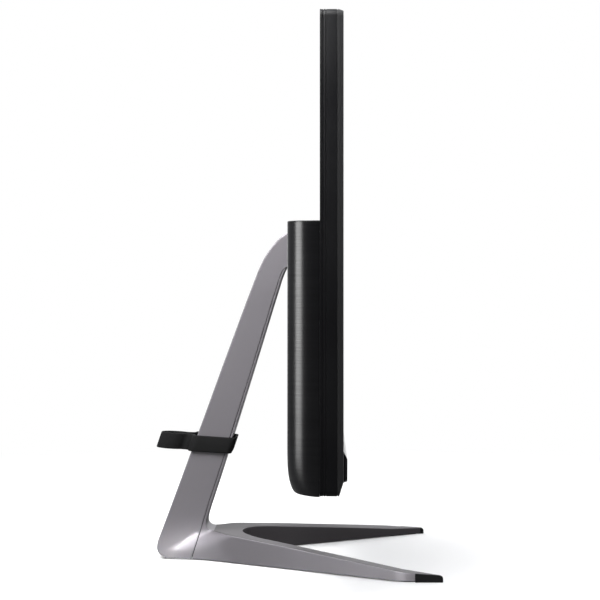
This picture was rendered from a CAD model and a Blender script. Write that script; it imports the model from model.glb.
# An all-in-one desktop computer: a flat display with the computer housed behind it, on a neck
# that leans forward from a V-shaped base.
# X runs across the width, the screen faces -Y, the neck stands at the rear (+Y) and Z is up from
# the floor at 0. Shapes are given in millimetres and built in metres.
import bpy
import bmesh
import math
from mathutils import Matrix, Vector


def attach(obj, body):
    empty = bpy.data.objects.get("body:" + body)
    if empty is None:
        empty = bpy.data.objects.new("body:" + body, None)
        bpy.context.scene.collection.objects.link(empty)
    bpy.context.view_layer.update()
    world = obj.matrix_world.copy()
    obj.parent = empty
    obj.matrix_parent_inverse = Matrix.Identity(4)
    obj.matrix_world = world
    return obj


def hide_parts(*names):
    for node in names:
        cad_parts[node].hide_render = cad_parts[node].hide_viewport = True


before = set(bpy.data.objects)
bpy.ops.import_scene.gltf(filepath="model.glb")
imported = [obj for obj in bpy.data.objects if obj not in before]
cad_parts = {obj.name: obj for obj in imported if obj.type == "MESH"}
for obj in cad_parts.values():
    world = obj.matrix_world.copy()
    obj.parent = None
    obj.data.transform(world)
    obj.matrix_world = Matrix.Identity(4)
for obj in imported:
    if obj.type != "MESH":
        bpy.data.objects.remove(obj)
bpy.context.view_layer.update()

Y_SHIFT = -1.6735      # from the working coordinates to the frame of the CAD pieces, mm
WELD_DISTANCE = 2e-6   # m
BEVEL_ANGLE = 35       # edges sharper than this are bevelled, degrees


# -------------------------------------------------------------- shader helpers
def add(tree, kind, inputs=None, **settings):
    """Add a node; each input is given either a value or the output socket that feeds it."""
    node = tree.nodes.new(kind)
    for key, value in settings.items():
        setattr(node, key, value)
    for key, value in (inputs or {}).items():
        if isinstance(value, bpy.types.NodeSocket):
            tree.links.new(value, node.inputs[key])
        else:
            node.inputs[key].default_value = value
    return node


def empty_tree(owner):
    """Clear the node tree of a material or world."""
    owner.use_nodes = True
    owner.node_tree.nodes.clear()
    return owner.node_tree


def object_coords(tree):
    return add(tree, "ShaderNodeTexCoord").outputs["Object"]


def noise(tree, vector, scale, detail=2.0):
    node = add(tree, "ShaderNodeTexNoise", {"Vector": vector, "Scale": scale, "Detail": detail})
    return node.outputs["Fac"]


def map_range(tree, value, low=0.0, high=1.0, to_low=0.0, to_high=1.0, smooth=False):
    node = add(tree, "ShaderNodeMapRange",
               {"Value": value, "From Min": low, "From Max": high,
                "To Min": to_low, "To Max": to_high},
               interpolation_type="SMOOTHSTEP" if smooth else "LINEAR")
    return node.outputs[0]


def calculate(tree, operation, *values):
    return add(tree, "ShaderNodeMath", dict(enumerate(values)), operation=operation).outputs[0]


def multiply_color(tree, factor, a, b):
    node = add(tree, "ShaderNodeMix", {"Factor": factor, "A": a, "B": b},
               data_type="RGBA", blend_type="MULTIPLY")
    return node.outputs["Result"]


def relief(tree, height, strength, distance):
    node = add(tree, "ShaderNodeBump",
               {"Strength": strength, "Distance": distance, "Height": height})
    return node.outputs[0]


def mix_shader(tree, factor, first, second):
    return add(tree, "ShaderNodeMixShader", {0: factor, 1: first, 2: second}).outputs[0]


# ------------------------------------------------------------------- materials
def surface(name, color, rough, metal=0.0, spec=0.5, grain=900.0, color_var=0.12, rough_var=0.08,
            bump=0.05, bump_dist=0.0002, stretch=(1, 1, 1), detail=4.0, coat=0.0, spec_var=0.0):
    """Principled surface: fine noise varies its colour and relief, coarse noise its roughness.

    grain is the scale of the fine noise, stretch its scale along each axis;
    the *_var values are how far colour, roughness and specular swing.
    """
    material = bpy.data.materials.new(name)
    tree = empty_tree(material)
    coords = object_coords(tree)
    stretched = add(tree, "ShaderNodeMapping", {"Vector": coords, "Scale": stretch}).outputs[0]
    fine = noise(tree, stretched, scale=grain, detail=detail)
    coarse = noise(tree, coords, scale=14.0)
    tint = map_range(tree, fine, low=0.3, high=0.7, to_low=1.0 - color_var, to_high=1.0 + color_var)
    roughness = map_range(tree, coarse, low=0.3, high=0.7, to_low=max(0.02, rough - rough_var),
                          to_high=min(1.0, rough + rough_var))
    shader = add(tree, "ShaderNodeBsdfPrincipled", {
        "Base Color": multiply_color(tree, 1.0, (*color, 1), tint),
        "Roughness": roughness,
        "Normal": relief(tree, fine, strength=bump, distance=bump_dist),
        "Metallic": metal,
        "Specular IOR Level": spec,
        "IOR": 1.46,
        "Coat Weight": coat,
        "Coat Roughness": 0.1,
    })
    if spec_var > 0:
        specular = map_range(tree, fine, low=0.35, high=0.65,
                             to_low=spec * (1 - spec_var), to_high=spec * (1 + spec_var))
        tree.links.new(specular, shader.inputs["Specular IOR Level"])
    add(tree, "ShaderNodeOutputMaterial", {0: shader.outputs[0]})
    return material


def screen_material():
    """Dark screen: a black border round a slightly bluish active area with a fine grain."""
    half_width, half_height, centre_z = 0.2618, 0.1466, 0.28015    # active area, m
    material = bpy.data.materials.new("screen_off")
    tree = empty_tree(material)
    coords = object_coords(tree)
    split = add(tree, "ShaderNodeSeparateXYZ", {0: coords})

    def inside(coordinate, centre, half):
        distance = calculate(tree, "ABSOLUTE", calculate(tree, "SUBTRACT", coordinate, centre))
        return calculate(tree, "LESS_THAN", distance, half)

    active = calculate(tree, "MULTIPLY", inside(split.outputs["X"], 0.0, half_width),
                       inside(split.outputs["Z"], centre_z, half_height))
    grain = noise(tree, coords, scale=2400)
    color = add(tree, "ShaderNodeMix",
                {"A": (0.003, 0.003, 0.0035, 1), "B": (0.0075, 0.0080, 0.0095, 1),
                 "Factor": active}, data_type="RGBA")
    shader = add(tree, "ShaderNodeBsdfPrincipled", {
        "Base Color": multiply_color(tree, 0.25, color.outputs["Result"], grain),
        "Roughness": map_range(tree, active, to_low=0.10, to_high=0.26),
        "Normal": relief(tree, grain, strength=0.04, distance=0.0001),
    })
    add(tree, "ShaderNodeOutputMaterial", {0: shader.outputs[0]})
    return material


MATERIALS = {
    "black": surface("black_satin", color=(0.0030, 0.0030, 0.0036), rough=0.42, spec=0.20,
                     grain=1600, color_var=0.10),
    "bezel": surface("bezel_satin", color=(0.018, 0.018, 0.0185), rough=0.36, spec=0.3,
                     grain=1600, color_var=0.08, bump=0.03),
    "brushed": surface("brushed_black", color=(0.0022, 0.0022, 0.0027), rough=0.25, spec=0.42,
                       grain=60, stretch=(0.12, 0.12, 16), color_var=0.3, rough_var=0.02,
                       bump=0.07, bump_dist=0.0001, detail=8, spec_var=0.22),
    "silver": surface("satin_silver", color=(0.272, 0.258, 0.278), rough=0.36, metal=0.55,
                      grain=2600, color_var=0.03, rough_var=0.03, bump=0.03),
    "silver_top": surface("satin_silver_top", color=(0.105, 0.098, 0.104), rough=0.46, metal=0.25,
                          spec=0.3, grain=2600, color_var=0.04, rough_var=0.03, bump=0.03),
    "gap": surface("seam_shadow", color=(0.006, 0.006, 0.006), rough=0.9, spec=0.05),
    "cap_rubber": surface("matt_rubber_leg", color=(0.0150, 0.0150, 0.0156), rough=0.78,
                          spec=0.25, grain=1400, color_var=0.2, bump=0.15),
    "silver_inner": surface("satin_silver_inner", color=(0.075, 0.069, 0.074), rough=0.42,
                            metal=0.45, grain=2600, color_var=0.05, rough_var=0.03),
    "rubber": surface("matt_rubber", color=(0.0075, 0.0075, 0.0078), rough=0.78, spec=0.22,
                      grain=1400, color_var=0.2, bump=0.15),
    "grille": surface("speaker_cloth", color=(0.008, 0.008, 0.009), rough=0.75, spec=0.3,
                      grain=3000, color_var=0.25, bump=0.2),
    "steel": surface("hinge_steel", color=(0.42, 0.43, 0.45), rough=0.38, metal=0.95, grain=700,
                     stretch=(1, 1, 9), color_var=0.08, bump=0.08),
    "sheet": surface("zinc_sheet", color=(0.50, 0.51, 0.53), rough=0.48, metal=0.9, grain=160,
                     color_var=0.14),
    "screw": surface("black_zinc", color=(0.05, 0.05, 0.055), rough=0.35, metal=0.85,
                     color_var=0.15, bump=0.08),
    "part": surface("dark_moulding", color=(0.014, 0.014, 0.016), rough=0.55, grain=1200,
                    color_var=0.18, bump=0.1),
    "gloss": surface("polished_black", color=(0.006, 0.006, 0.008), rough=0.12, spec=0.6,
                     color_var=0.1, rough_var=0.03, bump=0.01),
    "board": surface("solder_mask", color=(0.012, 0.055, 0.025), rough=0.35, grain=420,
                     color_var=0.35, bump=0.2, coat=0.3),
    "nickel": surface("nickel_plate", color=(0.55, 0.55, 0.52), rough=0.3, metal=0.95, grain=600,
                      color_var=0.06, bump=0.04),
    "copper": surface("copper", color=(0.62, 0.27, 0.14), rough=0.3, metal=1.0, grain=300,
                      color_var=0.1),
    "fins": surface("bare_aluminium", color=(0.62, 0.63, 0.64), rough=0.35, metal=1.0, grain=500,
                    stretch=(1, 8, 1), color_var=0.06),
    "white": surface("white_moulding", color=(0.75, 0.75, 0.76), rough=0.5, grain=400,
                     color_var=0.03, bump=0.03),
    "cast": surface("cast_metal", color=(0.33, 0.33, 0.34), rough=0.55, metal=0.8, grain=500,
                    bump=0.2),
    "screen": screen_material(),
}


# ------------------------------------------------------ point and line helpers
def arc(center_x, center_y, radius, start, end, steps):
    """Points along an arc, from start to end in degrees."""
    angles = [math.radians(start + (end - start) * i / steps) for i in range(steps + 1)]
    return [(center_x + radius * math.cos(a), center_y + radius * math.sin(a)) for a in angles]


def rect_outline(x0, x1, z0, z1, radius, steps):
    """Flat rectangle with rounded corners, counter-clockwise from its right side."""
    return (arc(x1 - radius, z1 - radius, radius, 0, 90, steps)
            + arc(x0 + radius, z1 - radius, radius, 90, 180, steps)
            + arc(x0 + radius, z0 + radius, radius, 180, 270, steps)
            + arc(x1 - radius, z0 + radius, radius, 270, 360, steps))


def rect_loop(x0, x1, z0, z1, radius, y):
    """Rounded rectangle standing upright at one y."""
    return [(x, y, z) for x, z in rect_outline(x0, x1, z0, z1, radius, 8)]


def interp(table, t):
    """Piecewise-linear lookup in a table of (t, values...)."""
    if t <= table[0][0]:
        return table[0][1:]
    for a, b in zip(table, table[1:]):
        if t <= b[0]:
            f = (t - a[0]) / (b[0] - a[0])
            return tuple(p + f * (q - p) for p, q in zip(a[1:], b[1:]))
    return table[-1][1:]


def resample(points, count):
    """count + 1 points evenly along a polyline."""
    lengths = [0.0]
    for a, b in zip(points, points[1:]):
        lengths.append(lengths[-1] + math.dist(a, b))
    table = [(length, *point) for length, point in zip(lengths, points)]
    return [interp(table, lengths[-1] * i / count) for i in range(count + 1)]


def chaikin(points, times):
    """Corner-cutting of an open polyline, ends kept."""
    for _ in range(times):
        cut = [points[0]]
        for a, b in zip(points, points[1:]):
            cut.append(tuple(0.75 * p + 0.25 * q for p, q in zip(a, b)))
            cut.append(tuple(0.25 * p + 0.75 * q for p, q in zip(a, b)))
        cut.append(points[-1])
        points = cut
    return points


def at_height(points, z):
    """Point at height z on a rising (y, z) polyline."""
    for a, b in zip(points, points[1:]):
        if a[1] <= z <= b[1]:
            f = (z - a[1]) / (b[1] - a[1])
            return (a[0] + f * (b[0] - a[0]), z)
    return points[-1]


def bezier(start, control, end, t):
    return tuple((1 - t) ** 2 * a + 2 * t * (1 - t) * c + t * t * b
                 for a, c, b in zip(start, control, end))


def lerp(start, end, t):
    return tuple(a + (b - a) * t for a, b in zip(start, end))


def step_towards(start, end, distance):
    length = math.dist(start, end)
    return tuple(a + (b - a) / length * distance for a, b in zip(start, end))


def mirrored(points):
    return [(-x, y, z) for x, y, z in points]


# ---------------------------------------------------------------- mesh helpers
def to_metres(verts):
    return [(x / 1000, (y + Y_SHIFT) / 1000, z / 1000) for x, y, z in verts]


def link_object(name, data):
    ob = bpy.data.objects.new(name, data)
    bpy.context.scene.collection.objects.link(ob)
    return ob


def sharpen(mesh, angle):
    """Smooth shading, with sharp edges above the angle (degrees) and on open borders."""
    limit = math.radians(angle)
    bm = bmesh.new()
    bm.from_mesh(mesh)
    for face in bm.faces:
        face.smooth = True
    for edge in bm.edges:
        edge.smooth = len(edge.link_faces) == 2 and edge.calc_face_angle(0) < limit
    bm.to_mesh(mesh)
    bm.free()


def mesh_object(name, verts, faces, material, angle=32, body=None, replaces=(), slot=None):
    mesh = bpy.data.meshes.new(name)
    mesh.from_pydata(to_metres(verts), [], faces)
    mesh.update()
    bm = bmesh.new()
    bm.from_mesh(mesh)
    bmesh.ops.remove_doubles(bm, verts=bm.verts, dist=WELD_DISTANCE)
    bmesh.ops.dissolve_degenerate(bm, edges=bm.edges, dist=1e-7)
    bmesh.ops.recalc_face_normals(bm, faces=bm.faces)
    bm.to_mesh(mesh)
    bm.free()
    ob = link_object(name, mesh)
    mesh.materials.append(material)
    sharpen(mesh, angle)
    if body:
        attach(ob, body)
    if replaces:
        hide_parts(*replaces)
    return ob


def ring_faces(loop_count, size, closed):
    """Quads between neighbouring loops of the same size."""
    faces = []
    for i in range(loop_count if closed else loop_count - 1):
        a, b = i * size, ((i + 1) % loop_count) * size
        for j in range(size):
            k = (j + 1) % size
            faces.append((a + j, a + k, b + k, b + j))
    return faces


def loft(name, loops, material, torus=False, **options):
    """Skin over loops; a torus joins last to first, otherwise both ends are capped."""
    size = len(loops[0])
    verts = [point for loop in loops for point in loop]
    faces = ring_faces(len(loops), size, torus)
    if not torus:
        faces.append(tuple(range(size - 1, -1, -1)))
        faces.append(tuple(range((len(loops) - 1) * size, len(loops) * size)))
    return mesh_object(name, verts, faces, material, **options)


def bevel(ob, width, segments):
    modifier = ob.modifiers.new("bevel", "BEVEL")
    modifier.width = width / 1000
    modifier.segments = segments
    modifier.limit_method = "ANGLE"
    modifier.angle_limit = math.radians(BEVEL_ANGLE)


def prism_faces(size, first=0):
    """Faces of a prism whose two end rings follow each other from vertex first."""
    near = range(first, first + size)
    far = range(first + size, first + 2 * size)
    return near, far


def prism(name, outline, low, high, axis, material, edge=0.0, segments=2, **options):
    """Flat outline raised along one axis; its points are in the other two axes, in XYZ order."""
    size = len(outline)

    def place(a, b, t):
        return {"x": (t, a, b), "y": (a, t, b), "z": (a, b, t)}[axis]

    verts = [place(a, b, t) for t in (low, high) for a, b in outline]
    faces = [tuple(range(size)), tuple(range(2 * size - 1, size - 1, -1))]
    faces += [(i, (i + 1) % size, size + (i + 1) % size, size + i) for i in range(size)]
    ob = mesh_object(name, verts, faces, material, **options)
    if edge:
        bevel(ob, edge, segments)
    return ob


def cutter(boxes=(), rods=()):
    """Throwaway object for booleans.

    boxes: (x0, x1, y0, y1, z0, z1, corner radius seen along Y, or 0)
    rods: (axis "y" or "z", radius, from, to, centre x, centre on the remaining axis)
    """
    ends = []    # two rings of points for each box or rod
    for x0, x1, y0, y1, z0, z1, radius in boxes:
        if radius:
            outline = rect_outline(x0, x1, z0, z1, radius, 4)
        else:
            outline = [(x1, z1), (x0, z1), (x0, z0), (x1, z0)]
        ends.append([[(x, y, z) for x, z in outline] for y in (y0, y1)])
    for axis, radius, start, end, u, v in rods:
        sides = 24
        angles = [2 * math.pi * i / sides for i in range(sides)]
        ring = [(u + math.cos(a) * radius, v + math.sin(a) * radius) for a in angles]
        ends.append([[(p, t, q) if axis == "y" else (p, q, t) for p, q in ring]
                     for t in (start, end)])
    verts, faces = [], []
    for near, far in ends:
        n, b = len(near), len(verts)
        verts += near + far
        faces += [tuple(b + i for i in range(n)), tuple(b + 2 * n - 1 - i for i in range(n))]
        faces += [(b + i, b + n + i, b + n + (i + 1) % n, b + (i + 1) % n) for i in range(n)]
    mesh = bpy.data.meshes.new("cutter")
    mesh.from_pydata(to_metres(verts), [], faces)
    bm = bmesh.new()
    bm.from_mesh(mesh)
    bmesh.ops.recalc_face_normals(bm, faces=bm.faces)
    bm.to_mesh(mesh)
    bm.free()
    return link_object("cutter", mesh)


def carve(ob, tool, angle):
    """Boolean difference, applied; the tool is removed."""
    modifier = ob.modifiers.new("cut", "BOOLEAN")
    modifier.operation = "DIFFERENCE"
    modifier.solver = "EXACT"
    modifier.object = tool
    bpy.context.view_layer.update()
    depsgraph = bpy.context.evaluated_depsgraph_get()
    mesh = bpy.data.meshes.new_from_object(ob.evaluated_get(depsgraph))
    ob.modifiers.remove(modifier)
    ob.data = mesh
    tool_mesh = tool.data
    bpy.data.objects.remove(tool)
    bpy.data.meshes.remove(tool_mesh)
    sharpen(mesh, angle)


def paint(ob, material, chosen):
    """Add a material slot and give it to the faces for which chosen(face) holds (metres)."""
    ob.data.materials.append(MATERIALS[material])
    index = len(ob.data.materials) - 1
    for face in ob.data.polygons:
        if chosen(face):
            face.material_index = index


# ==================================================================== DISPLAY
HALF_WIDTH = 270.0
BOTTOM, TOP = 79.5, 435.3
CORNER_RADIUS = 5.0

# Outer edge of the bezel, back to front: inset, y, lift of the lower edge above the chin
BEZEL_EDGE = [
    (0.08, -34.8, 0), (0.2, -35.3, 0), (0.42, -36.1, 0), (0.66, -36.9, 0), (0.9, -37.6, 0),
    (1.1, -38.02, 0), (1.32, -38.22, 0.2), (1.7, -38.3, 0.6),
]
# Opening round the screen, front to back: half width, bottom, top, corner radius, y
BEZEL_OPENING = [
    (264.5, 131.0, 429.4, 1.2, -38.3), (264.15, 131.35, 429.05, 0.9, -38.22),
    (263.95, 131.55, 428.85, 0.8, -38.0), (263.8, 131.6, 428.7, 0.7, -36.0),
    (263.8, 131.6, 428.7, 0.7, -33.9),
]
BEZEL_BACK = [(4.0, -33.9), (4.0, -33.53), (0.55, -33.53), (0.55, -33.9)]    # inset, y

# Side frame, with a shadow groove near its back edge: inset, y
SIDE_PROFILE = [
    (0.35, -33.6), (0.05, -33.45), (0.0, -33.2), (0.0, -25.9), (0.12, -25.72), (0.4, -25.62),
    (0.4, -25.3), (0.12, -25.2), (0.0, -25.05), (0.0, -24.0), (0.08, -23.75), (0.35, -23.62),
    (2.0, -23.62), (2.0, -33.6),
]
# Rear cover, outside with a groove, then the inner rim: inset, y
COVER_OUTSIDE = [
    (0.4, -23.3), (0.08, -23.18), (0.0, -22.95), (0.0, -22.4), (0.22, -22.3), (0.22, -22.05),
    (0.0, -21.95), (0.0, -21.35), (0.1, -21.05), (0.4, -20.9),
]
COVER_RIM = [(4.2, -23.3), (4.2, -23.75), (0.55, -23.75), (0.55, -23.3)]


def display_loop(inset, y, bottom=None):
    """Outline of the display drawn in by an inset, with its lower edge moved if given."""
    return rect_loop(-HALF_WIDTH + inset, HALF_WIDTH - inset,
                     BOTTOM + inset if bottom is None else bottom, TOP - inset,
                     max(0.6, CORNER_RADIUS - inset * 0.5), y)


def display_loops(profile):
    return [display_loop(inset, y) for inset, y in profile]


def chin_z(y):
    """Lower edge of the bezel: a deep chamfer that rises towards the front."""
    return BOTTOM + max(0.0, (-35.1 - y) / 3.2 * 10.0)


def build_front_bezel():
    loops = display_loops([(0.25, -33.9), (0.0, -34.15)])
    loops += [display_loop(inset, y, chin_z(y) + lift) for inset, y, lift in BEZEL_EDGE]
    loops += [rect_loop(-half, half, low, high, radius, y)
              for half, low, high, radius, y in BEZEL_OPENING]
    loops += display_loops(BEZEL_BACK)
    bezel = loft("vis_front_bezel", loops, MATERIALS["bezel"], torus=True, body="display",
                 replaces=("front_bezel",), slot="black_shell", angle=28)
    # round hole above the screen, then a shallow slot across it
    hole_z, slot_half = 431.6, 1.5
    carve(bezel, cutter(rods=[("y", 1.3, -41, -30, 0.0, hole_z)]), 28)
    carve(bezel, cutter([(-4.0, 9.0, -40, -37.4, hole_z - slot_half, hole_z + slot_half, 1.3)]),
          28)


def build_screen():
    prism("vis_screen", rect_outline(-263.5, 263.5, 131.9, 428.4, 0.6, 4), -37.6, -35.9, "y",
          MATERIALS["screen"], edge=0.15, body="display", replaces=("lcd_panel",),
          slot="screen_face")


def build_side_frame():
    side = loft("vis_side_frame", display_loops(SIDE_PROFILE), MATERIALS["black"], torus=True,
                body="display", replaces=("side_frame",), slot="black_shell", angle=30)
    # round-ended opening in the underside
    left, right, centre_y, radius = 241.8, 250.2, -28.6, 3.1
    carve(side, cutter(rods=[("z", radius, 78, 83, x, centre_y) for x in (left, right)]), 30)
    carve(side, cutter([(left, right, centre_y - radius, centre_y + radius, 78, 83, 0)]), 30)


def build_rear_cover():
    inner = [rect_loop(-255, 255, 90, 277, 2, y) for y in (-20.9, -23.3)]
    loft("vis_rear_cover", display_loops(COVER_OUTSIDE) + inner + display_loops(COVER_RIM),
         MATERIALS["black"], torus=True, body="display", replaces=("rear_cover",),
         slot="black_shell", angle=30)


# --------------------------------------------------------------- rear housing
HOUSING_BACK, HOUSING_TOP = 3.2, 281.0
HOUSING_RADIUS = 24.05                             # upright corners, seen from above
HOUSING_FRONT = HOUSING_BACK - HOUSING_RADIUS
CORNER_X = HALF_WIDTH - HOUSING_RADIUS             # centre of the corner arcs
HOUSING_WALL = 2.0
KNEE_Z = 106.5                                     # below this the back sweeps forward
STRAIGHT_LEVELS = (*range(270, 119, -15), 108)
TOP_EDGE = [(0, 0.5), (0.15, 0.15), (0.5, 0.0), (0.8, 0.0), (1.6, 0.0)]    # drop, inset

# Back of the housing from top to bottom: z, y
BACK_CURVE = chaikin([
    (281.0, 3.2), (104.0, 3.2), (96.4, 2.75), (91.0, 2.0), (86.6, 0.9), (83.2, -0.5),
    (81.0, -2.0), (80.0, -4.2), (79.55, -8.0), (79.5, -11.0),
], 2)


def plan_contour(inset):
    """Housing seen from above: right corner, flat back, left corner."""
    radius, flat_steps = HOUSING_RADIUS - inset, 40
    flat = [(CORNER_X * (1 - 2 * i / flat_steps), HOUSING_BACK - inset)
            for i in range(1, flat_steps)]
    return (arc(CORNER_X, HOUSING_FRONT, radius, 0, 90, 16) + flat
            + arc(-CORNER_X, HOUSING_FRONT, radius, 90, 180, 16))


def trimmed(contour, depth):
    """Contour moved inwards along its normals."""
    points = []
    for x, y in contour:
        normal_x = math.copysign(max(0.0, abs(x) - CORNER_X) / HOUSING_RADIUS, x)
        normal_y = math.sqrt(max(0.0, 1 - normal_x * normal_x))
        points.append((x - depth * normal_x, y - depth * normal_y))
    return points


def squeezed(contour, depth):
    """Contour flattened towards the front so that its back moves by depth."""
    scale = 1 - depth / (HOUSING_BACK - HOUSING_FRONT)
    return [(x, HOUSING_FRONT + (y - HOUSING_FRONT) * scale) for x, y in contour]


def housing_loops(inset):
    """Housing solid drawn in by an inset; the inset one reaches out past the open front."""
    contour = plan_contour(inset)
    top_edge = [(0, 0.0)] if inset else TOP_EDGE
    levels = [(HOUSING_TOP - inset - drop, trimmed(contour, depth)) for drop, depth in top_edge]
    levels += [(z, contour) for z in STRAIGHT_LEVELS]
    lower = [(z, HOUSING_BACK - y) for z, y in BACK_CURVE if z <= KNEE_Z]
    front = []
    if inset:
        lower = [(z, depth) for z, depth in lower if z >= BOTTOM + inset + 0.3]
        lower.append((BOTTOM + inset, lower[-1][1] + 1.0))
        front = [(side * (HALF_WIDTH - inset), HOUSING_FRONT - 3.0) for side in (-1, 1)]
    levels += [(z, squeezed(contour, depth)) for z, depth in lower]
    return [[(x, y, z) for x, y in plan + front] for z, plan in levels]


def build_rear_housing():
    housing = loft("vis_rear_housing", housing_loops(0.0), MATERIALS["brushed"], body="display",
                   replaces=("rear_housing",), slot="brushed_shell", angle=30)
    carve(housing, loft("hollow", housing_loops(HOUSING_WALL), MATERIALS["brushed"]), 30)

    pitch, hole_x, hole_z = 6.4, 225, 120
    neck_notch = (-36.3, 36.3, -30, 10, 232.2, 290, 0)
    back_slots = [(first + i * pitch, first + i * pitch + 3.2, -6, 8, 196, 240, 1.55)
                  for first in (-156, 69.6) for i in range(14)]
    lower_opening = (-84, 84, -6, 8, 106, 128, 2.0)
    wide_holes = [("y", 4.2, 2.0, 8, x, hole_z) for x in (-hole_x, hole_x)]
    carve(housing, cutter([neck_notch, *back_slots, lower_opening], wide_holes), 30)

    top_slots = [(-148 + i * pitch, -148 + i * pitch + 3.6, -15, -2, 272, 290, 0)
                 for i in range(12)]
    narrow_holes = [("y", 2.2, -6, 3, x, hole_z) for x in (-hole_x, hole_x)]
    carve(housing, cutter(top_slots, narrow_holes), 30)


# ---------------------------------------------------------------- speaker bar
BAR_HALF = 264.0
BAR_END = 0.3              # softening of the bar's ends
# Bar section: y, z
BAR_PROFILE = [(-38.36, 112.2), (-39.3, 110.4), (-39.38, 110.0), (-39.38, 90.2), (-39.3, 89.9),
               (-38.36, 89.3)]

GRILLE_Y, GRILLE_BACK_Y = -41.1, -39.5
HOLE_PITCH, HOLE_ROWS, HOLE_COLUMNS = 2.5, 5, 198
HOLE_RADIUS, HOLE_BOTTOM_Y = 0.72, -40.2
HOLES_CENTRE_Z = 98.4
# Grille section above and below the holes, downwards: y, z
GRILLE_UPPER = [(-39.5, 110.0), (-39.62, 109.9), (-41.0, 106.5), (-41.1, 106.1)]
GRILLE_LOWER = [(-41.1, 90.9), (-41.0, 90.6), (-39.8, 89.8), (-39.5, 89.8)]


def is_top_facet(face):
    """Facing forwards and up."""
    return face.normal.y < -0.2 and face.normal.z > 0.2


def build_speaker_bar():
    centre_y = sum(y for y, z in BAR_PROFILE) / len(BAR_PROFILE)
    centre_z = sum(z for y, z in BAR_PROFILE) / len(BAR_PROFILE)
    # end softening: distance from the end, shrink of the section
    ends = [(0.0, BAR_END), (BAR_END * 0.3, BAR_END * 0.3), (BAR_END, 0.0)]
    stations = [(-BAR_HALF + distance, shrink) for distance, shrink in ends]
    stations += [(BAR_HALF - distance, shrink) for distance, shrink in reversed(ends)]
    loops = []
    for x, shrink in stations:
        loop = []
        for y, z in BAR_PROFILE:
            dy, dz = centre_y - y, centre_z - z
            length = math.hypot(dy, dz)
            move = shrink * min(1, length)
            loop.append((x, y + dy / length * move, z + dz / length * move))
        loops.append(loop)
    bar = loft("vis_speaker_bar", loops, MATERIALS["black"], body="display",
               replaces=("speaker_bar",), slot="black_shell", angle=30)
    paint(bar, "gloss", is_top_facet)


def grille_mesh():
    """Sloped top facet, vertical face with rows of blind holes, rounded lower edge."""
    verts, faces = [], []

    def add_face(*corners):
        start = len(verts)
        verts.extend(corners)
        faces.append(tuple(range(start, start + len(corners))))

    half_height = HOLE_ROWS * HOLE_PITCH / 2
    low, high = HOLES_CENTRE_Z - half_height, HOLES_CENTRE_Z + half_height
    left = -HOLE_COLUMNS * HOLE_PITCH / 2
    columns = [left + i * HOLE_PITCH for i in range(HOLE_COLUMNS + 1)]

    # long strips above and below the holes
    x_cuts = (-BAR_HALF, left, -left, BAR_HALF)
    for strip in (GRILLE_UPPER + [(GRILLE_Y, high)], [(GRILLE_Y, low)] + GRILLE_LOWER):
        for (y0, z0), (y1, z1) in zip(strip, strip[1:]):
            for a, b in zip(x_cuts, x_cuts[1:]):
                # next to the holes the strip is cut to match their columns
                beside_holes = a == left and (z0 in (low, high) or z1 in (low, high))
                cuts = columns if beside_holes else (a, b)
                for p, q in zip(cuts, cuts[1:]):
                    add_face((p, y0, z0), (q, y0, z0), (q, y1, z1), (p, y1, z1))
    # plain face to either side of the holes, then the back and the ends
    for a, b in ((-BAR_HALF, left), (-left, BAR_HALF)):
        add_face((a, GRILLE_Y, high), (b, GRILLE_Y, high), (b, GRILLE_Y, low), (a, GRILLE_Y, low))
    add_face((-BAR_HALF, GRILLE_BACK_Y, 89.8), (BAR_HALF, GRILLE_BACK_Y, 89.8),
             (BAR_HALF, GRILLE_BACK_Y, 110.0), (-BAR_HALF, GRILLE_BACK_Y, 110.0))
    for x in (-BAR_HALF, BAR_HALF):
        add_face(*[(x, y, z) for y, z in GRILLE_UPPER + GRILLE_LOWER])

    # each hole is an octagon in a square cell
    cell = [(1, 0), (1, 1), (0, 1), (-1, 1), (-1, 0), (-1, -1), (0, -1), (1, -1)]
    sides = len(cell)
    angles = [2 * math.pi * i / sides for i in range(sides)]
    circle = [(HOLE_RADIUS * math.cos(a), HOLE_RADIUS * math.sin(a)) for a in angles]
    half = HOLE_PITCH / 2
    for column in range(HOLE_COLUMNS):
        for row in range(HOLE_ROWS):
            x, z = left + column * HOLE_PITCH + half, low + row * HOLE_PITCH + half
            s = len(verts)
            verts += [(x + dx * half, GRILLE_Y, z + dz * half) for dx, dz in cell]
            verts += [(x + dx, GRILLE_Y, z + dz) for dx, dz in circle]
            verts += [(x + dx, HOLE_BOTTOM_Y, z + dz) for dx, dz in circle]
            for i in range(sides):
                j = (i + 1) % sides
                for ring in (s, s + sides):
                    faces.append((ring + i, ring + j, ring + sides + j, ring + sides + i))
            faces.append(tuple(s + 2 * sides + i for i in range(sides)))
    return verts, faces


def build_speaker_grille():
    grille = mesh_object("vis_speaker_grille", *grille_mesh(), MATERIALS["grille"],
                         body="display", replaces=("speaker_grille",), slot="grille", angle=30)
    paint(grille, "gloss", lambda face: is_top_facet(face) and face.center.z > 0.105)


# ===================================================================== STAND
NECK_HALF = 22.0
UNDERSIDE = 2.3            # lowest height in the tables of the stand
GROUND_GAP = 0.8           # the underside is brought down to this
LEG_SPLAY = 0.7574         # outward run of a leg per unit forwards
SPLAY_START_Y = 88.0
CAP_X = 152.8              # end of a leg

# Skirt between neck and leg: z, y where it turns fully into the leg, and into the neck
SKIRT_LEG = [(2.3, 70.0), (25.4, 50.0), (40.0, 46.0)]
SKIRT_NECK = [(2.3, 118.0), (8.0, 112.5), (15.0, 99.0), (20.0, 86.0), (23.0, 77.5),
              (25.4, 71.0), (33.0, 62.0)]

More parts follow.
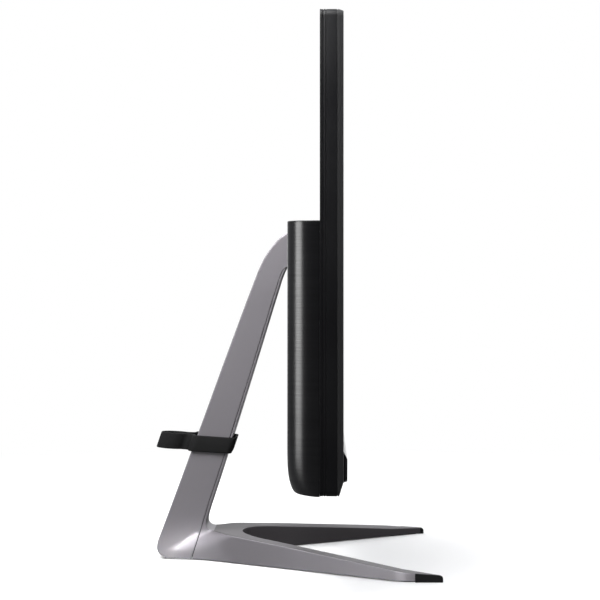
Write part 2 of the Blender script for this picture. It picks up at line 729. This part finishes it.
# Rear line of the neck from the foot up over the head: y, z
REAR_FOOT = [(112.0, 2.3), (114.6, 2.9), (116.8, 4.7), (118.4, 7.3), (118.9, 10.8), (118.0, 15.6)]
REAR_SHAFT = [(118.0, 15.6), (98.8, 66.9), (79.7, 118.3), (61.0, 169.8), (41.9, 221.3)]
REAR_HEAD = [
    (41.9, 221.3), (36.6, 235.0), (32.8, 245.3), (28.9, 253.8), (25.9, 259.2), (22.5, 264.2),
    (19.0, 268.8), (15.6, 272.6), (12.2, 275.5), (8.8, 278.0), (4.0, 279.8), (-1.5, 280.0),
    (-6.0, 278.8), (-11.0, 274.6), (-14.4, 269.6), (-16.6, 264.6),
]
# Seam between the neck shell and the base, rising: y, z
SEAM = [
    (88.9, 2.3), (77.0, 39.9), (74.3, 49.7), (68.4, 66.9), (52.0, 118.3), (35.9, 169.8),
    (20.2, 221.3), (17.0, 231.5), (15.0, 238.4), (12.3, 245.3), (10.6, 248.0),
]
# Underside of the head, from the top of the seam forwards: y, z
NOSE = [(6.6, 249.8), (0, 251.2), (-7.5, 252.2), (-12.4, 253.4), (-15.6, 256.4), (-16.9, 260.6)]


def side_x(y, z):
    """Half width of the stand: flat neck, concave skirt, then the splayed leg."""
    leg_y = interp(SKIRT_LEG, z)[0]
    neck_y = interp(SKIRT_NECK, z)[0]
    if y >= neck_y or z > 34.0:
        return NECK_HALF
    if y <= leg_y:
        return NECK_HALF + LEG_SPLAY * (SPLAY_START_Y - y)
    t = (neck_y - y) / (neck_y - leg_y)
    reach, slope = LEG_SPLAY * (SPLAY_START_Y - leg_y), LEG_SPLAY * (neck_y - leg_y)
    return NECK_HALF + max(0.0, reach * (3 * t * t - 2 * t ** 3) + slope * (t ** 3 - t * t))


def grounded(loops):
    """Bring the underside down so only a hairline gap shows above the floor."""
    return [[(x, y, GROUND_GAP if z <= UNDERSIDE + 0.02 else z) for x, y, z in loop]
            for loop in loops]


def rounded_edge(start, end, radius, steps):
    """Quarter turn at the end of a line in (y, z): narrowing, y, z at each step."""
    length = math.dist(start, end)
    points = []
    for i in range(steps + 1):
        angle = math.pi / 2 * i / steps
        distance = length - radius + radius * math.sin(angle)
        points.append((radius * (1 - math.cos(angle)), *step_towards(start, end, distance)))
    return points


# ----------------------------------------------------------------- neck shell
def neck_stations():
    """Pairs of (y, z) points, one on the seam and one on the rear line."""
    seam_low, seam_high = 17.0, 214.0
    rear_low, rear_high = REAR_SHAFT[0][1], 216.0
    foot = chaikin(REAR_FOOT, 2)
    foot_seam = resample([SEAM[0], at_height(SEAM, seam_low)], len(foot) - 1)
    stations = list(zip(foot_seam, foot))
    shaft_steps = 46
    for i in range(1, shaft_steps + 1):
        f = i / shaft_steps
        stations.append((at_height(SEAM, seam_low + f * (seam_high - seam_low)),
                         at_height(REAR_SHAFT, rear_low + f * (rear_high - rear_low))))
    head = chaikin(REAR_HEAD, 2)
    upper_seam = [at_height(SEAM, 215.5)] + [point for point in SEAM if point[1] > 216] + NOSE
    return stations + list(zip(resample(chaikin(upper_seam, 1), len(head) - 1), head))


def neck_section(seam, rear):
    """Closed loop: left side from seam to rear, across the rear, right side back."""
    length = math.dist(seam, rear)
    rear_radius = min(0.9, length * 0.3)
    seam_radius = min(0.45, length * 0.2)
    side_steps, rear_steps = 14, 6
    side = []
    for i in range(4):
        rise = math.sin(math.pi / 2 * i / 3)
        y, z = step_towards(seam, rear, seam_radius * rise)
        side.append((side_x(y, z) - seam_radius * (1 - rise), y, z))
    for i in range(1, side_steps):
        flat = length - seam_radius - rear_radius
        y, z = step_towards(seam, rear, seam_radius + flat * i / side_steps)
        side.append((side_x(y, z), y, z))
    side += [(side_x(y, z) - narrowing, y, z)
             for narrowing, y, z in rounded_edge(seam, rear, rear_radius, 6)]
    half = side[-1][0]
    across = [(-half * (1 - 2 * i / rear_steps), *rear) for i in range(1, rear_steps)]
    return mirrored(side) + across + side[::-1]


def build_neck_shell():
    loops = grounded([neck_section(seam, rear) for seam, rear in neck_stations()])
    neck = loft("vis_neck_shell", loops, MATERIALS["silver"], body="stand",
                replaces=("neck_shell",), slot="satin_silver", angle=38)
    paint(neck, "gap", lambda face: (face.normal.y < -0.7 and abs(face.center.x) < 0.002
                                     and face.center.z > 0.002))


# ----------------------------------------------------------------------- base
# Top surface of the base: y, z
BASE_TOP = [(-117.7, 5.6), (-87.6, 7.4), (-45, 12.5), (0, 17.6), (20, 19.8), (48, 22.6),
            (60, 23.7), (70.0, 24.5), (81.07, 25.4)]
# Soft corner from the outer leg face into the end face: curve start, control, end (x, y)
TIP_START, TIP_CONTROL, TIP_END = (147.4, -77.5), (CAP_X, -84.7), (CAP_X, -93.7)
MIDDLE_STEPS, LEG_STEPS, HEIGHT_STEPS = 4, 96, 10
REAR_BOTTOM_Y, REAR_TOP_Y, REAR_TOP_Z = 88.55, 81.07, 25.4


def top_z(y):
    return interp(BASE_TOP, y)[0]


def outer_x(y, z):
    """Outer leg face, turning through a soft corner into the end face."""
    if y > TIP_START[1]:
        return side_x(y, z)
    low, high = 0.0, 1.0
    for _ in range(24):
        t = (low + high) / 2
        if bezier(TIP_START, TIP_CONTROL, TIP_END, t)[1] > y:
            low = t
        else:
            high = t
    return min(CAP_X, bezier(TIP_START, TIP_CONTROL, TIP_END, t)[0])


def inner_rail(count):
    """Inner edge of the V seen from above: an arc from the middle, then straight to the tip."""
    radius, centre_y = 60.0, -13.5
    arc_end = math.degrees(math.atan2(22.9 - centre_y, 47.7))
    return resample(arc(0.0, centre_y, radius, 90, arc_end, 24) + [(CAP_X, -114.8)], count)


def outer_wall(i):
    """Outer face of the base at station i, from the underside to the top."""
    wall = []
    if i <= MIDDLE_STEPS:
        for j in range(HEIGHT_STEPS + 1):
            z = UNDERSIDE + (REAR_TOP_Z - UNDERSIDE) * j / HEIGHT_STEPS
            y = at_height(SEAM, z)[0] - 0.55
            wall.append((side_x(y, z) * i / MIDDLE_STEPS, y, z))
        return wall
    f = ((i - MIDDLE_STEPS) / LEG_STEPS) ** 1.25    # closer stations near the neck
    bottom_y = REAR_BOTTOM_Y + f * (TIP_END[1] - REAR_BOTTOM_Y)
    top_y = REAR_TOP_Y + f * (TIP_END[1] - REAR_TOP_Y)
    for j in range(HEIGHT_STEPS + 1):
        v = j / HEIGHT_STEPS
        z = UNDERSIDE + (top_z(top_y) - UNDERSIDE) * v
        y = bottom_y + (top_y - bottom_y) * v
        wall.append((outer_x(y, z), y, z))
    return wall


def rounded_corner(start, corner, end):
    return [bezier(start, corner, end, i / 4) for i in range(5)]


def leg_loops():
    """Half of the V base, +X side, from the middle to the tip."""
    loops = []
    rail = inner_rail(MIDDLE_STEPS + LEG_STEPS)
    for i, (x, y) in enumerate(rail):
        wall = outer_wall(i)
        below, outer = wall[-2:]
        inner = (x, y, top_z(y))
        width = math.dist(outer, inner)
        # the outer edge radius grows from nothing over the first steps of the leg
        growth = min(1.0, max(0.0, (i - MIDDLE_STEPS) / 6))
        outer_radius = min(max(1.1 * growth, 0.02), width * 0.2, math.dist(outer, below) * 0.8)
        inner_radius = min(1.0, width * 0.2)
        top_start = step_towards(outer, inner, outer_radius)
        top_end = step_towards(inner, outer, inner_radius)
        inner_start = (x, y, inner[2] - inner_radius)
        inner_end = (x, y, UNDERSIDE)
        loop = wall[:-1]
        loop += rounded_corner(step_towards(outer, below, outer_radius), outer, top_start)
        loop += [lerp(top_start, top_end, q / 4) for q in (1, 2, 3)]
        loop += rounded_corner(top_end, inner, inner_start)
        loop += [lerp(inner_start, inner_end, q / 3) for q in (1, 2, 3)]
        loops.append(loop)
    # the last point of each loop lies on the underside
    return loops


def build_base_frame():
    half = grounded(leg_loops())
    size = len(half[0])
    verts, faces = [], []
    for side in (1, -1):
        first = len(verts)
        verts += [(side * x, y, z) for loop in half for x, y, z in loop]
        faces += [tuple(first + i for i in face) for face in ring_faces(len(half), size, False)]
        tip = first + (len(half) - 1) * size
        faces.append(tuple(range(tip, tip + size)))
    base = mesh_object("vis_base_frame", verts, faces, MATERIALS["silver"], body="stand",
                       replaces=("base_frame",), slot="satin_silver", angle=38)
    # faces towards the front, the top, and the rear face along the seam
    paint(base, "silver_inner", lambda face: (face.normal.y < -0.3 and abs(face.normal.z) < 0.5
                                              and face.center.z < 0.0318))
    paint(base, "silver_top", lambda face: face.normal.z > 0.9 and face.center.z > 0.004)
    paint(base, "gap", lambda face: (face.normal.y > 0.7 and abs(face.center.x) < 0.03
                                     and face.center.y > 0.06))


# --------------------------------------------------------------- riser strip
# Front line of the neck: the straight part going down, then the fillet into the base (y, z)
RISER_STRAIGHT = [(8.2, 248.7), (10.0, 245.3), (12.7, 238.4), (14.7, 231.5), (17.9, 221.3),
                  (33.6, 169.8), (49.6, 118.3), (65.9, 66.9)]
RISER_FILLET = [(71.5, 49.7), (73.9, 42.6), (75.5, 37.4), (76.6, 33.2), (77.0, 30.4),
                (76.4, 27.6), (74.6, 25.6), (72.2, 24.75), (70.0, 24.45)]


def riser_loops():
    front_line = (RISER_STRAIGHT + chaikin(RISER_FILLET, 2))[::-1]
    lowest_z = RISER_FILLET[-1][1]
    spread_count = 30          # lowest points, whose seam heights are spread evenly
    spread_from, spread_to = 25.6, 50
    loops = []
    for k, front in enumerate(front_line):
        z = front[1]
        seam_z = z
        if k < spread_count:
            scale = (spread_to - spread_from) / (spread_to - lowest_z)
            seam_z = spread_from + (z - lowest_z) * scale
        seam_y, seam_z = at_height(SEAM, min(seam_z, 247.6))
        start = (seam_y - 0.32, seam_z - 0.1)
        radius = 0.7 if z > 27.85 else 0.12 + 0.58 * max(0.0, (z - lowest_z) / 3.4)
        flat = math.dist(start, front) - radius
        side = [(NECK_HALF, *step_towards(start, front, flat * t)) for t in (0.0, 0.35, 0.7)]
        side += [(NECK_HALF - narrowing, y, z)
                 for narrowing, y, z in rounded_edge(start, front, radius, 4)]
        across = [(NECK_HALF * f, *front) for f in (0.5, 0.0, -0.5)]
        loops.append(side + across + mirrored(side[::-1]))
    return loops


def build_riser_strip():
    """Strip that closes the front of the neck and runs into the base with a fillet."""
    loft("vis_riser_strip", riser_loops(), MATERIALS["silver"], body="stand",
         replaces=("base_frame",), slot="satin_silver", angle=38)


def build_seam_tongue():
    """Tongue between base and neck shell, so that no light passes through the seam."""
    heights = [1.2, 2.3, 12.0, 22.0, 31.0, 39.9, 49.7, 66.9, 118.3, 169.8, 221.3, 236.0]

    def line(offset):
        return [(at_height(SEAM, max(UNDERSIDE, z))[0] + offset, z) for z in heights]

    prism("vis_seam_tongue", line(-0.85) + line(0.35)[::-1], -20.6, 20.6, "x",
          MATERIALS["gap"], body="stand", replaces=("base_frame",), slot="satin_silver")


# --------------------------------------------------------------- rubber parts
SOLE_HEIGHT = 2.05
# Leg cap seen from the side: y, z
CAP_OUTLINE = [(-95.6, 0.0), (-95.6, 6.9), (-114.2, 5.75), (-115.7, 5.5), (-116.8, 4.8),
               (-117.5, 3.7), (-117.6, 2.4), (-117.6, 0.5), (-117.1, 0.0)]
# Sole under the right leg, seen from above: x, y
SOLE_OUTLINE = [(151.0, -88.0), (151.0, -111.0), (134, -89.0), (134, -66.0)]


def build_leg_ends():
    for side, name in ((-1, "left"), (1, "right")):
        low, high = sorted((side * 152.7, side * 155.0))
        prism(f"vis_leg_cap_{name}", CAP_OUTLINE, low, high, "x", MATERIALS["cap_rubber"],
              edge=0.5, segments=3, body="stand", replaces=(f"leg_cap_{name}",), slot="rubber")
        prism(f"vis_leg_sole_{name}", [(side * x, y) for x, y in SOLE_OUTLINE], 0.0, SOLE_HEIGHT,
              "z", MATERIALS["rubber"], edge=0.4, body="stand", replaces=(f"leg_cap_{name}",),
              slot="rubber")


def build_rear_pad():
    prism("vis_foot_pad_rear", rect_outline(-18, 18, 92, 111, 4, 6), 0.0, SOLE_HEIGHT, "z",
          MATERIALS["rubber"], edge=0.4, body="stand", replaces=("foot_pad_rear",), slot="rubber")


# Cable clip: a rectangle round the neck with a round loop behind it, seen from above
CLIP_HALF, CLIP_FRONT, CLIP_BACK, CLIP_CORNER = 24.9, 53.1, 90.3, 5
CLIP_THROAT = [(14.0, 90.9), (10.6, 93.0), (9.9, 95.8)]    # right side: x, y
CLIP_BOTTOM, CLIP_TOP, CLIP_THICKNESS = 91.9, 105.4, 2.5


def keyhole():
    x, front, back = CLIP_HALF - CLIP_CORNER, CLIP_FRONT + CLIP_CORNER, CLIP_BACK - CLIP_CORNER
    return (arc(x, front, CLIP_CORNER, -90, 0, 6) + arc(x, back, CLIP_CORNER, 0, 90, 6)
            + CLIP_THROAT + arc(0, 105.6, 13.3, -42, 222, 26)
            + [(-px, py) for px, py in CLIP_THROAT[::-1]]
            + arc(-x, back, CLIP_CORNER, 90, 180, 6) + arc(-x, front, CLIP_CORNER, 180, 270, 6))


def build_cable_clip():
    """One rubber ribbon that follows the keyhole outline, leaning with the neck."""
    outline = keyhole()
    outline = resample(outline + outline[:1], 120)[:-1]
    lean, tilt = -math.tan(math.radians(18.8)), math.tan(math.radians(3.7))
    pivot_y, pivot_z = 80, 98.3
    ribbon = rect_outline(0, CLIP_THICKNESS, CLIP_BOTTOM, CLIP_TOP, 0.8, 4)    # depth, z
    loops = []
    for i, (x, y) in enumerate(outline):
        before, after = outline[i - 1], outline[(i + 1) % len(outline)]
        length = math.dist(before, after)
        inward_x = -(after[1] - before[1]) / length
        inward_y = (after[0] - before[0]) / length
        loop = []
        for depth, z in ribbon:
            flat_y = y + inward_y * depth
            loop.append((x + inward_x * depth, flat_y + lean * (z - pivot_z),
                         z + tilt * (flat_y - pivot_y)))
        loops.append(loop)
    loft("vis_cable_clip", loops, MATERIALS["rubber"], torus=True, body="stand",
         replaces=("cable_clip",), slot="rubber", angle=50)


# =================================================== pieces kept from the CAD
HINGE_SCREWS = ("hinge_screw_left_lower", "hinge_screw_left_upper",
                "hinge_screw_right_lower", "hinge_screw_right_upper")
HOUSING_SCREWS = ("housing_screw_left", "housing_screw_right")
HINGE_CHEEKS = ("hinge_cheek_left", "hinge_cheek_right")
PLATED_SOCKETS = ("socket_network", "socket_video", "socket_usb_pair_1", "socket_usb_pair_2")

# material: pieces
PIECE_MATERIALS = {
    "white": ("backlight_unit", "light_guide"),
    "sheet": ("panel_backplate", "main_chassis", "drive_tray"),
    "screw": (*HOUSING_SCREWS, *HINGE_SCREWS),
    "black": ("hinge_well",),
    "steel": (*HINGE_CHEEKS, "hinge_axle", "hinge_nut", "friction_pack_left",
              "friction_pack_right"),
    "part": ("speaker_left", "speaker_right", "blower_housing", "blower_impeller",
             "memory_socket", "connector_plate", "socket_audio"),
    "gloss": ("camera_module", "camera_shutter", "power_button", "socket_power"),
    "board": ("power_switch", "mainboard", "memory_module_1", "memory_module_2",
              "storage_card", "wireless_card"),
    "nickel": ("processor", "clock_cell", *PLATED_SOCKETS, "socket_card_reader"),
    "copper": ("cold_plate", "heat_pipe"),
    "fins": ("fin_stack", "drive_unit"),
    "cast": ("neck_spine",),
}
# bevel width, mm: pieces
PIECE_BEVELS = {
    0.5: ("hinge_axle",),
    0.4: ("hinge_well", "hinge_nut"),
    0.35: ("power_button",),
    0.3: HINGE_CHEEKS,
    0.25: ("connector_plate", *HOUSING_SCREWS),
    0.2: HINGE_SCREWS,
    0.15: (*PLATED_SOCKETS, "socket_power", "socket_audio"),
    0.12: ("socket_card_reader",),
    0.1: ("camera_shutter",),
}


def dress_cad_pieces():
    for material, names in PIECE_MATERIALS.items():
        for name in names:
            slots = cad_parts[name].data.materials
            slots.clear()
            slots.append(MATERIALS[material])
    for width, names in PIECE_BEVELS.items():
        for name in names:
            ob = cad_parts[name]
            weld = ob.modifiers.new("weld", "WELD")
            weld.merge_threshold = WELD_DISTANCE
            bevel(ob, width, 2)


# ==================================================================== STUDIO
# The camera looks along +X. Floor and world keep a bright patch straight ahead of it, inside
# this range of the X part of the unit direction.
AHEAD = {"low": 0.90, "high": 0.96, "smooth": True}
WHITE = (1, 1, 1, 1)


def floor_material():
    """Pale floor that fades to pure white for the camera and bounces little light."""
    material = bpy.data.materials.new("pale_floor")
    tree = empty_tree(material)
    coords = object_coords(tree)
    shade = map_range(tree, noise(tree, coords, scale=3.0), to_low=0.84, to_high=0.86)
    color = add(tree, "ShaderNodeCombineColor", {0: shade, 1: shade, 2: shade})
    pale = add(tree, "ShaderNodeBsdfPrincipled", {
        "Base Color": color.outputs[0],
        "Roughness": 0.9,
        "Specular IOR Level": 0.1,
        "Emission Color": WHITE,
        "Emission Strength": 0.04,
    }).outputs[0]
    glow = add(tree, "ShaderNodeEmission", {"Color": WHITE}).outputs[0]
    distance = add(tree, "ShaderNodeVectorMath", {0: coords}, operation="LENGTH").outputs["Value"]
    fade = map_range(tree, distance, low=0.30, high=1.1, smooth=True)
    seen = mix_shader(tree, fade, pale, glow)

    bounce = 0.12    # grey level met by all other rays
    dim = add(tree, "ShaderNodeBsdfDiffuse", {"Color": (bounce, bounce, bounce, 1)}).outputs[0]
    # the floor straight behind the object stays bright in grazing reflections
    unit = add(tree, "ShaderNodeVectorMath", {0: coords}, operation="NORMALIZE")
    split = add(tree, "ShaderNodeSeparateXYZ", {0: unit.outputs["Vector"]})
    ahead = map_range(tree, split.outputs["X"], **AHEAD)
    away = map_range(tree, distance, low=0.45, high=0.95, smooth=True)
    bounced = mix_shader(tree, calculate(tree, "MULTIPLY", ahead, away), dim, glow)

    camera_ray = add(tree, "ShaderNodeLightPath").outputs["Is Camera Ray"]
    add(tree, "ShaderNodeOutputMaterial", {0: mix_shader(tree, camera_ray, bounced, seen)})
    return material


def build_floor():
    half = 30    # m
    mesh = bpy.data.meshes.new("studio_floor")
    corners = [(-half, -half, 0), (half, -half, 0), (half, half, 0), (-half, half, 0)]
    mesh.from_pydata(corners, [], [(0, 1, 2, 3)])
    floor = link_object("studio_floor", mesh)
    mesh.materials.append(floor_material())


def place_light(light, at, target, only):
    """Aim a light; only is (collection name, objects) for one that reaches just a few pieces."""
    ob = link_object(light.name, light)
    ob.location = at
    ob.rotation_euler = (Vector(target) - Vector(at)).to_track_quat("-Z", "Y").to_euler()
    ob.visible_camera = False
    if only:
        name, receivers = only
        collection = bpy.data.collections.new(name)
        for receiver in receivers:
            collection.objects.link(bpy.data.objects[receiver])
        ob.light_linking.receiver_collection = collection


def area(name, at, target, size, power, only=None):
    light = bpy.data.lights.new(name, "AREA")
    light.shape = "RECTANGLE"
    light.size, light.size_y = size
    light.energy = power
    place_light(light, at, target, only)


def spot(name, at, target, degrees, power, radius, only):
    light = bpy.data.lights.new(name, "SPOT")
    light.energy = power
    light.spot_size = math.radians(degrees)
    light.spot_blend = 1.0
    light.shadow_soft_size = radius
    place_light(light, at, target, only)


def build_lights():
    """Positions and sizes in metres, powers in watts."""
    stand = ["vis_neck_shell", "vis_base_frame", "vis_riser_strip"]
    front = ["vis_front_bezel", "vis_screen", "vis_speaker_bar", "vis_speaker_grille"]
    area("key_top", at=(-0.42, 0.15, 0.68), target=(0, 0.05, 0.12), size=(0.42, 0.42), power=7.5)
    area("key_soft", at=(-1.55, 1.35, 1.15), target=(0, 0.05, 0.05), size=(0.9, 0.7), power=8)
    area("side_soft", at=(-0.46, 1.30, 0.27), target=(0, 0, 0.25), size=(0.62, 0.60), power=13,
         only=("housing_only", ["vis_rear_housing"]))
    area("front_soft", at=(-0.3, -2.4, 0.9), target=(0, 0, 0.25), size=(1.6, 1.2), power=4)
    area("front_key", at=(0.9, -2.0, 0.7), target=(0, 0, 0.25), size=(1.2, 1.2), power=60,
         only=("front_only", front))
    spot("tip_pool", at=(-0.95, 0.62, 0.34), target=(-0.146, -0.078, 0.005), degrees=11.5,
         power=58, radius=0.05, only=("legs_only", ["vis_base_frame"]))
    spot("foot_pool", at=(-0.95, -0.45, 0.12), target=(-0.027, 0.092, 0.000), degrees=3.6,
         power=16, radius=0.05, only=("stand_only", stand))
    spot("corner_pool", at=(-0.95, 0.26, 0.34), target=(-0.024, 0.092, -0.009), degrees=2.5,
         power=175, radius=0.03, only=("corner_only", stand))
    spot("flare_pool", at=(-0.68, 0.70, 0.76), target=(-0.030, 0.084, 0.008), degrees=5.4,
         power=130, radius=0.20, only=("flare_only", stand))
    area("floor_back", at=(1.25, 0.45, 0.85), target=(0, 0, 0), size=(0.7, 0.7), power=14,
         only=("floor_only", ["studio_floor"]))


def build_world():
    """White to the camera; otherwise lit from above, dimmer low down, dimmest behind the camera."""
    world = bpy.data.worlds.new("studio")
    bpy.context.scene.world = world
    tree = empty_tree(world)
    coords = add(tree, "ShaderNodeTexCoord").outputs["Generated"]
    split = add(tree, "ShaderNodeSeparateXYZ", {0: coords})
    across, height = split.outputs["X"], split.outputs["Z"]
    low = map_range(tree, across, low=-1.0, high=0.4, to_low=0.02, to_high=0.30, smooth=True)
    ahead = map_range(tree, across, to_high=0.9, **AHEAD)
    strength = map_range(tree, height, low=0.05, high=0.8,
                         to_low=calculate(tree, "ADD", low, ahead), to_high=1.25, smooth=True)
    lighting = add(tree, "ShaderNodeBackground",
                   {"Color": (0.97, 0.98, 1.0, 1), "Strength": strength}).outputs[0]
    backdrop = add(tree, "ShaderNodeBackground", {"Color": WHITE, "Strength": 1.0}).outputs[0]
    camera_ray = add(tree, "ShaderNodeLightPath").outputs["Is Camera Ray"]
    add(tree, "ShaderNodeOutputWorld", {0: mix_shader(tree, camera_ray, lighting, backdrop)})


def build_camera():
    """Long lens, level, looking along +X at the left side of the computer."""
    camera = bpy.data.cameras.new("camera")
    camera.sensor_width = 36
    camera.lens = 117.96
    camera.shift_x = -0.0416667
    camera.shift_y = -0.0216667
    camera.clip_start = 0.05
    camera.clip_end = 100
    ob = link_object("camera", camera)
    ob.location = (-1.7, (-24.7 + Y_SHIFT) / 1000, 0.2324)
    ob.rotation_euler = (math.radians(90), 0, math.radians(-90))
    bpy.context.scene.camera = ob
    bpy.context.scene.view_settings.view_transform = "Standard"


# ===================================================================== BUILD
build_front_bezel()
build_screen()
build_side_frame()
build_rear_cover()
build_rear_housing()
build_speaker_bar()
build_speaker_grille()

build_neck_shell()
build_base_frame()
build_riser_strip()
build_seam_tongue()
build_leg_ends()
build_rear_pad()
build_cable_clip()

dress_cad_pieces()

build_floor()
build_lights()
build_world()
build_camera()
